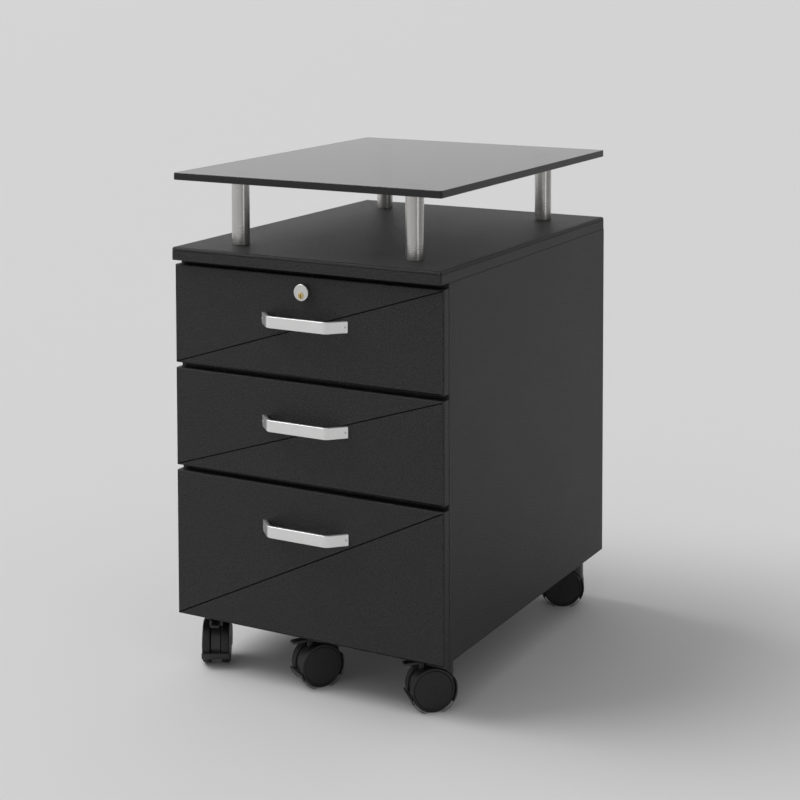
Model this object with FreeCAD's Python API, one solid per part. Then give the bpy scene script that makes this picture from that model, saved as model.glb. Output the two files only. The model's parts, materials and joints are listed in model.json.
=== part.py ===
import FreeCAD, Part
import math
import os
from FreeCAD import Placement, Rotation, Vector

# A steel pedestal cabinet: three drawers, a raised glass shelf and five hooded castors.
# Millimetres. X runs to the right, the drawers open towards -Y, +Z is up.
# The origin is on the floor, under the middle of the cabinet with its handles.

# ---------------------------------------------------------------- overall sizes
cabinet_width = 420.0
body_depth = 537.0            # from the drawer faces to the back
sheet = 1.2                   # folded steel of the carcass and the drawer fronts
side_return = 10.0            # edges of a side panel, folded inwards

# ---------------------------------------------------------------- drawer fronts
shallow_front_height = 138.0
deep_front_height = 205.0
front_gap = 7.0               # between two fronts, and under the top
front_thickness = 13.8
front_edge_radius = 2.2
front_clearance = 0.8         # between a front and the carcass

# ---------------------------------------------------------------- drawer boxes
box_sheet = 1.0
box_lift = 14.0               # box bottom above the lower edge of its front
box_head_clearance = 34.0     # box rim below the upper edge of its front
box_rear_clearance = 42.0     # closed box to the back of the cabinet

# ---------------------------------------------------------------- drawer slides
slide_width = 13.0            # carcass web to drawer box
slide_height = 45.0
slide_sheet = 1.2
slide_clearance = 0.4         # between nested members
slide_centre_above_box = 30.0
slide_setback = 18.0          # from the drawer face
slide_rear_clearance = 60.0
slide_passage_clearance = 1.0 # round a slide where it passes the folded edge of the side

# ---------------------------------------------------------------- top
top_thickness = 18.0
top_front_overhang = 8.0
top_edge_radius = 5.0
top_corner_radius = 3.0
liner_clearance = 0.2

# ---------------------------------------------------------------- front rails
rail_height = 12.0
rail_depth = 14.0
top_rail_lip = 14.8           # the lip that the lock cam turns up behind
top_rail_depth = 28.0
bottom_upstand = 9.0

# ---------------------------------------------------------------- raised shelf
shelf_side_setback = 1.0      # shelf edge inside the cabinet's side
shelf_front_overhang = 4.0    # ahead of the drawer faces
shelf_thickness = 10.0
shelf_corner_radius = 3.0
shelf_arris = 0.8
post_diameter = 25.0
post_height = 92.0
post_side_inset = 71.5        # post axis from the shelf's side edge
post_front_inset = 60.5
post_rear_inset = 67.5
post_arris = 0.6
pad_thickness = 1.0
pad_margin = 0.5              # the pad is smaller than the post all round
stud_radius = 4.0
stud_head_radius = 6.5
stud_head_height = 4.0
stud_depth = 25.0             # into the post
hole_clearance = 0.4          # free holes round studs, screws and barrels
thread_clearance = 0.03       # holes that hold a screw

# ---------------------------------------------------------------- handles
handle_length = 134.5
handle_reach = 22.0
handle_grip_length = 92.0     # the straight front run, corner to corner
handle_height = 16.0
handle_thickness = 5.0
handle_bend_radius = 12.0
handle_edge_radius = 1.0
handle_hole_spacing = 128.0
handle_drop_upper = 62.0      # handle middle below the upper edge of the front
handle_drop_lower = 58.0
handle_screw_radius = 1.6
handle_screw_depth = 3.2
handle_screw_head_radius = 3.4
handle_screw_head_height = 2.4

# ---------------------------------------------------------------- lock
lock_drop = 20.5              # lock axis below the upper edge of the front
rosette_radius = 11.3
rosette_height = 8.5
barrel_radius = 9.5
barrel_behind_front = 3.6     # barrel end behind the back of the front
plug_radius = 4.3
plug_drop = 4.0               # plug axis below the rosette's, with its pins above it
plug_proud = 0.4
running_clearance = 0.05
keyway_width = 1.6
keyway_height = 5.6
keyway_depth = 12.0
lock_nut_radius = 12.5
lock_nut_thickness = 3.0
cam_length = 22.0             # lock axis to the tip
cam_width = 12.0
cam_thickness = 2.0
cam_screw_radius = 2.5
cam_screw_height = 2.0

# ---------------------------------------------------------------- castors
wheel_radius = 30.0
wheel_width = 11.5
wheel_gap = 15.0              # between the two wheels of a castor
wheel_shoulder = 2.4
wheel_dome = 0.8
castor_trail = 12.0           # wheel axle ahead of the swivel axis
hood_gap = 1.0                # between a wheel's tread and its hood
hood_wall = 2.0
hood_side_cover = 0.5         # hood edge beyond the wheel's outer face
hood_front_angle = -14.0      # ends of the hood's arc, from straight ahead
hood_rear_angle = 172.0
web_clearance = 1.0           # between the middle web and each wheel
web_floor_clearance = 13.0
cup_radius = 19.5
cup_rise = 9.5                # swivel cup above the hood's arc
swivel_gap = 1.2
collar_radius = 8.0
collar_clearance = 0.2
castor_plate_thickness = 2.5
castor_plate_size = 44.0
castor_hole_spacing = 33.6
castor_screw_radius = 2.0
castor_screw_head_radius = 3.6
castor_screw_head_height = 1.8
castor_nut_radius = 3.8
castor_nut_height = 3.0
swivel_pin_radius = 4.0
swivel_pin_below_hood_top = 46.0
axle_radius = 3.0
axle_end_cover = 3.0          # wheel wall over the end of the axle
castor_side_inset = 33.0      # swivel axis from the cabinet's side
castor_front_inset = 49.0
castor_rear_inset = 48.5
castor_middle_inset = 49.5

# brake pedal on the three front castors
pedal_width = 12.0
pedal_reach = 38.0            # ahead of the wheel axle
pedal_pivot_ahead = 14.0
pedal_pivot_rise = 0.5        # above the top of the hood's arc
pedal_pin_radius = 1.5
pedal_ear_thickness = 3.0
pedal_ear_radius = 3.2
pedal_side_clearance = 0.4

# the way each castor has come to rest: name, heading of its hood in degrees from +X, pedal
castor_headings = (
    ("front_left", 299.5, True),
    ("front_middle", 235.9, True),
    ("front_right", 222.5, True),
    ("rear_left", 262.0, False),
    ("rear_right", 203.4, False),
)

# ---------------------------------------------------------------- worked-out places
half_width = cabinet_width / 2
face_y = -(body_depth + handle_reach) / 2 + handle_reach
back_y = face_y + body_depth
carcass_y = face_y + front_thickness + front_clearance
web_x = half_width - sheet
box_half_width = web_x - slide_width

hood_inner_radius = wheel_radius + hood_gap
hood_outer_radius = hood_inner_radius + hood_wall
hood_top = wheel_radius + hood_outer_radius + cup_rise
pedal_pivot_above = hood_outer_radius + pedal_pivot_rise
castor_plate_bottom = hood_top + swivel_gap
castor_plate_top = castor_plate_bottom + castor_plate_thickness
carcass_bottom = castor_plate_top - sheet

lower_z = carcass_bottom
middle_z = lower_z + deep_front_height + front_gap
upper_z = middle_z + shallow_front_height + front_gap
carcass_top = upper_z + shallow_front_height + front_gap
top_z = carcass_top + top_thickness
shelf_z = top_z + post_height + pad_thickness

drawers = (
    ("upper", upper_z, shallow_front_height, handle_drop_upper),
    ("middle", middle_z, shallow_front_height, handle_drop_lower),
    ("lower", lower_z, deep_front_height, handle_drop_lower),
)

lock_z = upper_z + shallow_front_height - lock_drop
plug_z = lock_z - plug_drop
wheel_half_span = wheel_gap / 2 + wheel_width


# ---------------------------------------------------------------- shared shapes
def block(low, high):
    size = Vector(*high) - Vector(*low)
    return Part.makeBox(size.x, size.y, size.z, Vector(*low))


def rod(start, end, radius):
    axis = Vector(*end) - Vector(*start)
    return Part.makeCylinder(radius, axis.Length, Vector(*start), axis)


def edges_where(shape, test):
    return [edge for edge in shape.Edges if test(edge.BoundBox)]


def rounded_outline(corners, lift):
    """Closed face through (a, b, radius) corners; lift places (a, b) in space."""
    turns = []
    for index, (a, b, radius) in enumerate(corners):
        here = Vector(a, b, 0)
        before = Vector(*corners[index - 1][:2], 0) - here
        after = Vector(*corners[(index + 1) % len(corners)][:2], 0) - here
        before.normalize()
        after.normalize()
        half_turn = before.getAngle(after) / 2
        bisector = (before + after).normalize()
        enter = here + before * (radius / math.tan(half_turn))
        leave = here + after * (radius / math.tan(half_turn))
        middle = here + bisector * (radius / math.sin(half_turn) - radius)
        turns.append((enter, middle, leave, radius))
    edges = []
    for index, (enter, middle, leave, radius) in enumerate(turns):
        previous = turns[index - 1][2]
        if (enter - previous).Length > 1e-6:
            edges.append(Part.makeLine(lift(previous), lift(enter)))
        if radius > 0:
            edges.append(Part.Arc(lift(enter), lift(middle), lift(leave)).toShape())
    return Part.Face(Part.Wire(Part.__sortEdges__(edges)))


def channel(low, high, wall, open_side):
    """Straight channel along Y, a box emptied towards open_side (+1 or -1 in X)."""
    shell = block(low, high)
    inner_low = [low[0] + wall, low[1] - 1, low[2] + wall]
    inner_high = [high[0] - wall, high[1] + 1, high[2] - wall]
    if open_side > 0:
        inner_high[0] = high[0] + 1
    else:
        inner_low[0] = low[0] - 1
    return shell.cut(block(inner_low, inner_high))


def mirrored(shape):
    return shape.mirror(Vector(0, 0, 0), Vector(1, 0, 0))


def save(name, *solids):
    shape = solids[0] if len(solids) == 1 else Part.makeCompound(list(solids))
    shape.exportStep(os.path.join("parts", name + ".step"))
    print(name, len(shape.Solids), "valid" if shape.isValid() else "INVALID")


def slide_centre(low):
    return low + box_lift + slide_centre_above_box


# ---------------------------------------------------------------- carcass
def slide_passage(low):
    """Notch in the front folded edge of the side, where a slide runs out."""
    reach = slide_height / 2 + slide_passage_clearance
    return block((half_width - side_return - 1, carcass_y - 1, slide_centre(low) - reach),
                 (web_x, carcass_y + 2 * sheet, slide_centre(low) + reach))


def right_side_panel():
    outer = block((half_width - side_return, carcass_y, carcass_bottom),
                  (half_width, back_y, carcass_top))
    inner = block((half_width - side_return - 1, carcass_y + sheet, carcass_bottom + sheet),
                  (web_x, back_y - sheet, carcass_top - sheet))
    return outer.cut([inner] + [slide_passage(low) for name, low, height, drop in drawers])


def back_panel():
    return block((-web_x, back_y - 2 * sheet, castor_plate_top),
                 (web_x, back_y - sheet, carcass_top - sheet))


def castor_places():
    side_x = half_width - castor_side_inset
    places = {
        "front_left": (-side_x, face_y + castor_front_inset),
        "front_middle": (0.0, face_y + castor_middle_inset),
        "front_right": (side_x, face_y + castor_front_inset),
        "rear_left": (-side_x, back_y - castor_rear_inset),
        "rear_right": (side_x, back_y - castor_rear_inset),
    }
    return places


def at_each_castor(shape):
    return [shape.translated(Vector(x, y, 0)) for x, y in castor_places().values()]


def castor_screw_places():
    reach = castor_hole_spacing / 2
    for x, y in castor_places().values():
        for side in (-reach, reach):
            for end in (-reach, reach):
                yield x + side, y + end


def bottom_panel():
    front = carcass_y + sheet
    rear = back_y - 2 * sheet
    floor = block((-web_x, front, castor_plate_top), (web_x, rear, castor_plate_top + sheet))
    upstand_top = castor_plate_top + bottom_upstand
    front_upstand = block((-web_x, front, castor_plate_top), (web_x, front + sheet, upstand_top))
    rear_upstand = block((-web_x, rear - sheet, castor_plate_top), (web_x, rear, upstand_top))
    panel = floor.fuse([front_upstand, rear_upstand]).removeSplitter()
    holes = [rod((x, y, castor_plate_top - 1), (x, y, castor_plate_top + sheet + 1),
                 castor_screw_radius + hole_clearance)
             for x, y in castor_screw_places()]
    return panel.cut(holes)


def cross_rail(middle_of_gap):
    """Channel across the cabinet behind the gap between two fronts, open to the rear."""
    front = carcass_y + sheet
    low = middle_of_gap - rail_height / 2
    high = middle_of_gap + rail_height / 2
    rail = block((-web_x, front, low), (web_x, front + rail_depth, high))
    hollow = block((-web_x - 1, front + sheet, low + sheet),
                   (web_x + 1, front + rail_depth + 1, high - sheet))
    return rail.cut(hollow)


def top_rail():
    front = carcass_y + sheet
    high = carcass_top - sheet
    lip = block((-web_x, front, high - top_rail_lip), (web_x, front + sheet, high))
    leg = block((-web_x, front, high - sheet), (web_x, front + top_rail_depth, high))
    return lip.fuse(leg).removeSplitter()


# ---------------------------------------------------------------- top and raised shelf
def shelf_front_y():
    return face_y - shelf_front_overhang


def post_places():
    x = half_width - shelf_side_setback - post_side_inset
    front = shelf_front_y() + post_front_inset
    rear = back_y - post_rear_inset
    places = {
        "front_left": (-x, front),
        "front_right": (x, front),
        "rear_left": (-x, rear),
        "rear_right": (x, rear),
    }
    return places


def stud_holes(low, high):
    return [rod((x, y, low), (x, y, high), stud_radius + hole_clearance)
            for x, y in post_places().values()]


def top_cover():
    front = face_y - top_front_overhang
    cover = block((-half_width, front, carcass_top), (half_width, back_y, top_z))
    upright = edges_where(cover, lambda box: box.ZLength > top_thickness / 2)
    cover = cover.makeFillet(top_corner_radius, upright)
    rim = edges_where(cover, lambda box: box.ZMin > top_z - 0.01)
    cover = cover.makeFillet(top_edge_radius, rim)
    hollow = block((-web_x, front + sheet, carcass_top - 1), (web_x, back_y - sheet, top_z - sheet))
    hollow_rim = edges_where(hollow, lambda box: box.ZMin > top_z - sheet - 0.01)
    hollow = hollow.makeFillet(top_edge_radius - sheet, hollow_rim)
    return cover.cut(hollow).cut(stud_holes(carcass_top, top_z + 1))


def top_liner():
    edge = sheet + liner_clearance
    liner = block((-half_width + edge, face_y - top_front_overhang + edge, carcass_top),
                  (half_width - edge, back_y - edge, carcass_top + sheet))
    return liner.cut(stud_holes(carcass_top - 1, carcass_top + sheet + 1))


def glass_shelf():
    half = half_width - shelf_side_setback
    glass = block((-half, shelf_front_y(), shelf_z), (half, back_y, shelf_z + shelf_thickness))
    upright = edges_where(glass, lambda box: box.ZLength > shelf_thickness / 2)
    glass = glass.makeFillet(shelf_corner_radius, upright)
    level = edges_where(glass, lambda box: box.ZLength < 0.01)
    return glass.makeChamfer(shelf_arris, level)


def post(x, y):
    body = rod((x, y, top_z), (x, y, top_z + post_height), post_diameter / 2)
    body = body.makeChamfer(post_arris, edges_where(body, lambda box: box.ZLength < 0.01))
    hole_top = top_z + stud_depth + 2
    return body.cut(rod((x, y, top_z - 1), (x, y, hole_top), stud_radius + thread_clearance))


def post_pad(x, y):
    base = top_z + post_height
    return rod((x, y, base), (x, y, base + pad_thickness), post_diameter / 2 - pad_margin)


def post_stud(x, y):
    shank = rod((x, y, carcass_top), (x, y, top_z + stud_depth), stud_radius)
    head = rod((x, y, carcass_top - stud_head_height), (x, y, carcass_top), stud_head_radius)
    return head.fuse(shank).removeSplitter()


# ---------------------------------------------------------------- drawers
def drawer_front(low, height, handle_z, with_lock):
    front = block((-half_width, face_y, low), (half_width, face_y + front_thickness, low + height))
    face_edges = edges_where(front, lambda box: box.YMax < face_y + 0.01)
    front = front.makeFillet(front_edge_radius, face_edges)
    pocket = block((-web_x, face_y + sheet, low + sheet),
                   (web_x, face_y + front_thickness + 1, low + height - sheet))
    pocket_edges = edges_where(pocket, lambda box: box.YMax < face_y + sheet + 0.01)
    pocket = pocket.makeFillet(front_edge_radius - sheet, pocket_edges)
    front = front.cut(pocket)
    for side in (-1, 1):
        x = side * handle_hole_spacing / 2
        front = front.cut(rod((x, face_y - 1, handle_z), (x, face_y + sheet + 1, handle_z),
                              handle_screw_radius + hole_clearance))
    if with_lock:
        front = front.cut(rod((0, face_y - 1, lock_z), (0, face_y + sheet + 1, lock_z),
                              barrel_radius + hole_clearance))
    return front


def drawer_box(low, height):
    bottom = low + box_lift
    rim = low + height - box_head_clearance
    front = face_y + front_thickness
    rear = back_y - box_rear_clearance
    outer = block((-box_half_width, front, bottom), (box_half_width, rear, rim))
    inner = block((-box_half_width + box_sheet, front + box_sheet, bottom + box_sheet),
                  (box_half_width - box_sheet, rear - box_sheet, rim + 1))
    return outer.cut(inner)


def handle(middle_z):
    """Flat bow: two slanting legs and a straight grip, with rounded bends."""
    half = handle_length / 2
    grip = handle_grip_length / 2
    grip_y = face_y - handle_reach
    slant = math.atan2(handle_reach, half - grip)
    foot = handle_thickness / math.sin(slant)
    inner_grip = grip - handle_thickness * math.tan(slant / 2)
    inner_y = grip_y + handle_thickness
    inner_radius = handle_bend_radius - handle_thickness
    corners = (
        (-half, face_y, 0), (-grip, grip_y, handle_bend_radius),
        (grip, grip_y, handle_bend_radius), (half, face_y, 0),
        (half - foot, face_y, 0), (inner_grip, inner_y, inner_radius),
        (-inner_grip, inner_y, inner_radius), (-half + foot, face_y, 0),
    )
    low = middle_z - handle_height / 2
    face = rounded_outline(corners, lambda p: Vector(p.x, p.y, low))
    strap = face.extrude(Vector(0, 0, handle_height))
    long_edges = edges_where(strap, lambda box: box.ZLength < 0.01 and box.YMin < face_y - 0.1)
    strap = strap.makeFillet(handle_edge_radius, long_edges)
    for side in (-1, 1):
        x = side * handle_hole_spacing / 2
        strap = strap.cut(rod((x, face_y + 1, middle_z), (x, face_y - handle_screw_depth - 0.3, middle_z),
                              handle_screw_radius + thread_clearance))
    return strap


def handle_screw(side, middle_z):
    x = side * handle_hole_spacing / 2
    inside = face_y + sheet
    shank = rod((x, face_y - handle_screw_depth, middle_z), (x, inside, middle_z), handle_screw_radius)
    head = rod((x, inside, middle_z), (x, inside + handle_screw_head_height, middle_z),
               handle_screw_head_radius)
    return shank.fuse(head).removeSplitter()


# ---------------------------------------------------------------- slides
def slide_members(low):
    """Right-hand cabinet, middle and drawer members of one slide, nested with a clearance."""
    centre = slide_centre(low)
    start = face_y + slide_setback
    end = back_y - slide_rear_clearance
    step = slide_sheet + slide_clearance
    half = slide_height / 2
    cabinet_member = channel((box_half_width + 2 * slide_clearance, start, centre - half),
                             (web_x, end, centre + half), slide_sheet, -1)
    middle_half = half - step
    middle_member = channel((box_half_width + step + slide_clearance, start, centre - middle_half),
                            (web_x - step, end, centre + middle_half), slide_sheet, -1)
    drawer_half = middle_half - step
    drawer_member = channel((box_half_width, start, centre - drawer_half),
                            (web_x - 2 * step, end, centre + drawer_half), slide_sheet, 1)
    return cabinet_member, middle_member, drawer_member


# ---------------------------------------------------------------- lock
def lock_barrel_end():
    return face_y + front_thickness + barrel_behind_front


def lock_housing():
    rosette = rod((0, face_y - rosette_height, lock_z), (0, face_y, lock_z), rosette_radius)
    rim = edges_where(rosette, lambda box: box.YMax < face_y - rosette_height + 0.01)
    rosette = rosette.makeFillet(1.0, rim)
    barrel = rod((0, face_y, lock_z), (0, lock_barrel_end(), lock_z), barrel_radius)
    bore = rod((0, face_y - rosette_height - 1, plug_z), (0, lock_barrel_end() + 1, plug_z),
               plug_radius + running_clearance)
    return rosette.fuse(barrel).cut(bore).removeSplitter()


def lock_nut():
    inside = face_y + sheet
    nut = rod((0, inside, lock_z), (0, inside + lock_nut_thickness, lock_z), lock_nut_radius)
    hole = rod((0, inside - 1, lock_z), (0, inside + lock_nut_thickness + 1, lock_z),
               barrel_radius + thread_clearance)
    return nut.cut(hole)


def lock_plug():
    start = face_y - rosette_height - plug_proud
    plug = rod((0, start, plug_z), (0, lock_barrel_end() + running_clearance * 4, plug_z), plug_radius)
    keyway = block((-keyway_width / 2, start - 1, plug_z - keyway_height / 2),
                   (keyway_width / 2, start + keyway_depth, plug_z + keyway_height / 2))
    return plug.cut(keyway)


def cam_front():
    return lock_barrel_end() + running_clearance * 4


def lock_cam():
    """Lies level to the right, and turns up behind the lip of the top rail."""
    half = cam_width / 2
    hub_round = half - 0.5
    tip_round = 2.0
    corners = (
        (-half, -half, hub_round), (cam_length, -half, tip_round),
        (cam_length, half, tip_round), (-half, half, hub_round),
    )
    face = rounded_outline(corners, lambda p: Vector(p.x, cam_front(), plug_z + p.y))
    return face.extrude(Vector(0, cam_thickness, 0))


def cam_screw():
    back = cam_front() + cam_thickness
    return rod((0, back, plug_z), (0, back + cam_screw_height, plug_z), cam_screw_radius)


# ---------------------------------------------------------------- castors
# A castor is drawn about its swivel axis with its hood ahead along +X, its axle along Y.
def on_castor(name, shape):
    x, y = castor_places()[name]
    heading = dict((row[0], row[1]) for row in castor_headings)[name]
    placed = shape.copy()
    placed.Placement = Placement(Vector(x, y, 0), Rotation(Vector(0, 0, 1), heading))
    return placed


def across(ahead, above, half_span, radius):
    """Round bar along the axle direction, at a place measured from the wheel's centre."""
    x = castor_trail + ahead
    z = wheel_radius + above
    return rod((x, -half_span, z), (x, half_span, z), radius)


def under_hood():
    """The sector below the two ends of the hood's arc."""
    reach = 3 * hood_outer_radius
    points = [(0.0, 0.0)]
    for angle in (hood_rear_angle, 225.0, 270.0, 315.0, 360.0 + hood_front_angle):
        turn = math.radians(angle)
        points.append((reach * math.cos(turn), reach * math.sin(turn)))
    half = 2 * wheel_half_span
    corners = [Vector(castor_trail + a, -half, wheel_radius + b) for a, b in points]
    return Part.Face(Part.makePolygon(corners + corners[:1])).extrude(Vector(0, 2 * half, 0))


def pedal_ears():
    ears = []
    inner = pedal_width / 2 + pedal_side_clearance
    for side in (-1, 1):
        near = side * inner
        far = side * (inner + pedal_ear_thickness)
        x = castor_trail + pedal_pivot_ahead
        z = wheel_radius + pedal_pivot_above
        head = rod((x, near, z), (x, far, z), pedal_ear_radius)
        foot = block((x - pedal_ear_radius, min(near, far), wheel_radius + hood_inner_radius / 2),
                     (x + pedal_ear_radius, max(near, far), z))
        ears.append(head.fuse(foot))
    return ears


def castor_hood(with_pedal):
    cover_half = wheel_half_span + hood_side_cover
    arc = across(0, 0, cover_half, hood_outer_radius).cut(under_hood())
    cup = rod((0, 0, wheel_radius + 5), (0, 0, hood_top), cup_radius)
    cup = cup.makeFillet(1.2, edges_where(cup, lambda box: box.ZMin > hood_top - 0.01))
    shell = arc.fuse([cup] + (pedal_ears() if with_pedal else []))
    shell = shell.cut(across(0, 0, cover_half + 5, hood_inner_radius))
    web_half = wheel_gap / 2 - web_clearance
    web_rim = across(0, 0, web_half, hood_inner_radius + hood_wall / 2).cut(under_hood())
    web_core = across(0, 0, web_half, hood_inner_radius - 4)
    hood = shell.fuse([web_rim, web_core])
    below = block((-200, -100, -200), (200, 100, web_floor_clearance))
    swivel_bore = rod((0, 0, hood_top - swivel_pin_below_hood_top - 1), (0, 0, hood_top + 1),
                      swivel_pin_radius + running_clearance)
    axle_bore = across(0, 0, web_half + 1, axle_radius + running_clearance)
    hood = hood.cut([below, swivel_bore, axle_bore])
    if with_pedal:
        hood = hood.cut(across(pedal_pivot_ahead, pedal_pivot_above, pedal_width,
                               pedal_pin_radius + running_clearance))
    return hood.removeSplitter()


def castor_wheel(side):
    inner = wheel_gap / 2
    outer = wheel_half_span
    centre = Vector(castor_trail, 0, wheel_radius)
    rim = wheel_radius
    profile = rounded_outline(
        ((0, inner, 0), (rim, inner, wheel_shoulder), (rim, outer - wheel_dome, wheel_shoulder),
         (rim * 0.86, outer, 6.0), (0, outer, 0)),
        lambda p: centre + Vector(p.x, side * p.y, 0))
    wheel = profile.revolve(centre, Vector(0, 1, 0), 360)
    bore = rod((castor_trail, 0, wheel_radius), (castor_trail, side * (outer - axle_end_cover), wheel_radius),
               axle_radius + thread_clearance)
    return wheel.cut(bore)


def castor_axle():
    return across(0, 0, wheel_half_span - axle_end_cover - 0.2, axle_radius)


def castor_plate():
    half = castor_plate_size / 2
    plate = block((-half, -half, castor_plate_bottom), (half, half, castor_plate_top))
    plate = plate.makeFillet(4.0, edges_where(plate, lambda box: box.ZLength > 1))
    collar = rod((0, 0, hood_top + collar_clearance), (0, 0, castor_plate_bottom), collar_radius)
    plate = plate.fuse(collar).removeSplitter()
    plate = plate.cut(rod((0, 0, hood_top), (0, 0, castor_plate_top + 1), swivel_pin_radius + thread_clearance))
    reach = castor_hole_spacing / 2
    for x in (-reach, reach):
        for y in (-reach, reach):
            low = (x, y, castor_plate_bottom - 1)
            high = (x, y, castor_plate_top + 1)
            plate = plate.cut(rod(low, high, castor_screw_radius + hole_clearance))
    return plate


def castor_stem():
    """Pin that the castor swivels on, fixed in the middle of its plate."""
    return rod((0, 0, hood_top - swivel_pin_below_hood_top), (0, 0, castor_plate_top), swivel_pin_radius)


def castor_screw(x, y):
    head = rod((x, y, castor_plate_bottom - castor_screw_head_height), (x, y, castor_plate_bottom),
               castor_screw_head_radius)
    shank = rod((x, y, castor_plate_bottom), (x, y, castor_plate_top + sheet + castor_nut_height + 1),
                castor_screw_radius)
    return head.fuse(shank).removeSplitter()


def castor_nut(x, y):
    base = castor_plate_top + sheet
    corners = [Vector(x + castor_nut_radius * math.cos(turn), y + castor_nut_radius * math.sin(turn), base)
               for turn in (math.radians(60 * index) for index in range(6))]
    nut = Part.Face(Part.makePolygon(corners + corners[:1])).extrude(Vector(0, 0, castor_nut_height))
    return nut.cut(rod((x, y, base - 1), (x, y, base + castor_nut_height + 1),
                       castor_screw_radius + thread_clearance))


def brake_pedal():
    """Tongue ahead of its pivot, level at rest, pressed down towards the hood."""
    pivot_x = castor_trail + pedal_pivot_ahead
    pivot_z = wheel_radius + pedal_pivot_above
    tip_x = castor_trail + pedal_reach
    half = pedal_width / 2
    corners = (
        (pivot_x - 2.6, pivot_z - 1.8, 1.0), (pivot_x + 6, pivot_z - 2.4, 2.0),
        (tip_x, pivot_z - 2.2, 0.8), (tip_x - 1.0, pivot_z + 1.2, 0.8),
        (pivot_x + 8, pivot_z + 2.4, 4.0), (pivot_x - 2.6, pivot_z + 2.2, 1.6),
    )
    face = rounded_outline(corners, lambda p: Vector(p.x, -half, p.y))
    tongue = face.extrude(Vector(0, pedal_width, 0))
    pin_half = half + pedal_side_clearance + pedal_ear_thickness
    pin = rod((pivot_x, -pin_half, pivot_z), (pivot_x, pin_half, pivot_z), pedal_pin_radius)
    return tongue.fuse(pin).removeSplitter()


# ---------------------------------------------------------------- build
def build_carcass():
    side = right_side_panel()
    save("right_side_panel", side)
    save("left_side_panel", mirrored(side))
    save("back_panel", back_panel())
    save("bottom_panel", bottom_panel())
    save("top_rail", top_rail())
    save("upper_cross_rail", cross_rail(upper_z - front_gap / 2))
    save("lower_cross_rail", cross_rail(middle_z - front_gap / 2))


def build_top():
    save("top_cover", top_cover())
    save("top_liner", top_liner())
    save("glass_shelf", glass_shelf())
    for name, place in post_places().items():
        save("post_" + name, post(*place))
    save("post_pads", *[post_pad(*place) for place in post_places().values()])
    save("post_studs", *[post_stud(*place) for place in post_places().values()])


def build_drawers():
    for name, low, height, handle_drop in drawers:
        handle_z = low + height - handle_drop
        save(name + "_drawer_front", drawer_front(low, height, handle_z, name == "upper"))
        save(name + "_drawer_box", drawer_box(low, height))
        save(name + "_handle", handle(handle_z))
        save(name + "_handle_screws", *[handle_screw(side, handle_z) for side in (-1, 1)])
        members = slide_members(low)
        for kind, member in zip(("cabinet_slides", "middle_slides", "drawer_slides"), members):
            save(name + "_" + kind, member, mirrored(member))


def build_lock():
    save("lock_housing", lock_housing())
    save("lock_nut", lock_nut())
    save("lock_plug", lock_plug())
    save("lock_cam", lock_cam())
    save("lock_cam_screw", cam_screw())


def build_castors():
    for name, heading, with_pedal in castor_headings:
        save(name + "_castor_hood", on_castor(name, castor_hood(with_pedal)))
        wheelset = [castor_wheel(-1), castor_axle(), castor_wheel(1)]
        save(name + "_castor_wheels", *[on_castor(name, piece) for piece in wheelset])
        if with_pedal:
            save(name + "_brake_pedal", on_castor(name, brake_pedal()))
    save("castor_plates", *at_each_castor(castor_plate()))
    save("castor_stems", *at_each_castor(castor_stem()))
    save("castor_screws", *[castor_screw(x, y) for x, y in castor_screw_places()])
    save("castor_nuts", *[castor_nut(x, y) for x, y in castor_screw_places()])


os.makedirs("parts", exist_ok=True)
build_carcass()
build_top()
build_drawers()
build_lock()
build_castors()
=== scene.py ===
"""A three-drawer pedestal cabinet: sheet metal, glass, fittings, castors, their finishes and a plain studio."""

import json
import math

import bmesh
import bpy
from bpy.props import FloatProperty, FloatVectorProperty, IntProperty, PointerProperty
from mathutils import Matrix, Vector


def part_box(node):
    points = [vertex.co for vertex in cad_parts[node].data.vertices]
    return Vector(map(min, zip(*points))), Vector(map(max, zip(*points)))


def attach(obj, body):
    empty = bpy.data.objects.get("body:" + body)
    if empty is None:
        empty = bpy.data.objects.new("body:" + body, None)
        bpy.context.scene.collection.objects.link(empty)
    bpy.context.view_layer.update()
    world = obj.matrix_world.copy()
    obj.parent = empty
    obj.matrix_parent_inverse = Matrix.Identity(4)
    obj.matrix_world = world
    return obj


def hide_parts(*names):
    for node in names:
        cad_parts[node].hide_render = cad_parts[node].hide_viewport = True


bl_info = {
    "name": "Pedestal cabinet",
    "version": (1, 0, 0),
    "blender": (4, 5, 0),
    "location": "3D View > Sidebar > Pedestal",
    "description": "Builds the visible surfaces of a three-drawer pedestal cabinet round its frame",
    "category": "Add Mesh",
}

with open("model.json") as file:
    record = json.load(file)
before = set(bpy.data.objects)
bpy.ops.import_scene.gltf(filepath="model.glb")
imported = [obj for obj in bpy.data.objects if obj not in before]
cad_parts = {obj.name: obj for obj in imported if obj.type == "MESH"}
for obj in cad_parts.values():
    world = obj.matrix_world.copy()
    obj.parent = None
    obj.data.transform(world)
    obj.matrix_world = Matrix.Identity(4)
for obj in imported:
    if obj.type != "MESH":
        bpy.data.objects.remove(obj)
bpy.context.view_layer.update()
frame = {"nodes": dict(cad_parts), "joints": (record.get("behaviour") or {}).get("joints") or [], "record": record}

MM = 0.001
TOUCH = 0.00002                 # two places this near are the same place
RIGHT, BACK, UP = Vector((1, 0, 0)), Vector((0, 1, 0)), Vector((0, 0, 1))
DRAWERS = ("upper", "middle", "lower")
CORNERS = ("front_left", "front_right", "rear_left", "rear_right")
CASTORS = ("front_left", "front_middle", "front_right", "rear_left", "rear_right")
BRAKED = ("front_left", "front_middle", "front_right")
JOINTS = {joint["name"]: joint for joint in frame["joints"]}


# ---------------------------------------------------------------- sizes and colours
def length(name, description, millimetres):
    return FloatProperty(name=name, description=description, default=millimetres * MM, unit="LENGTH")


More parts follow.
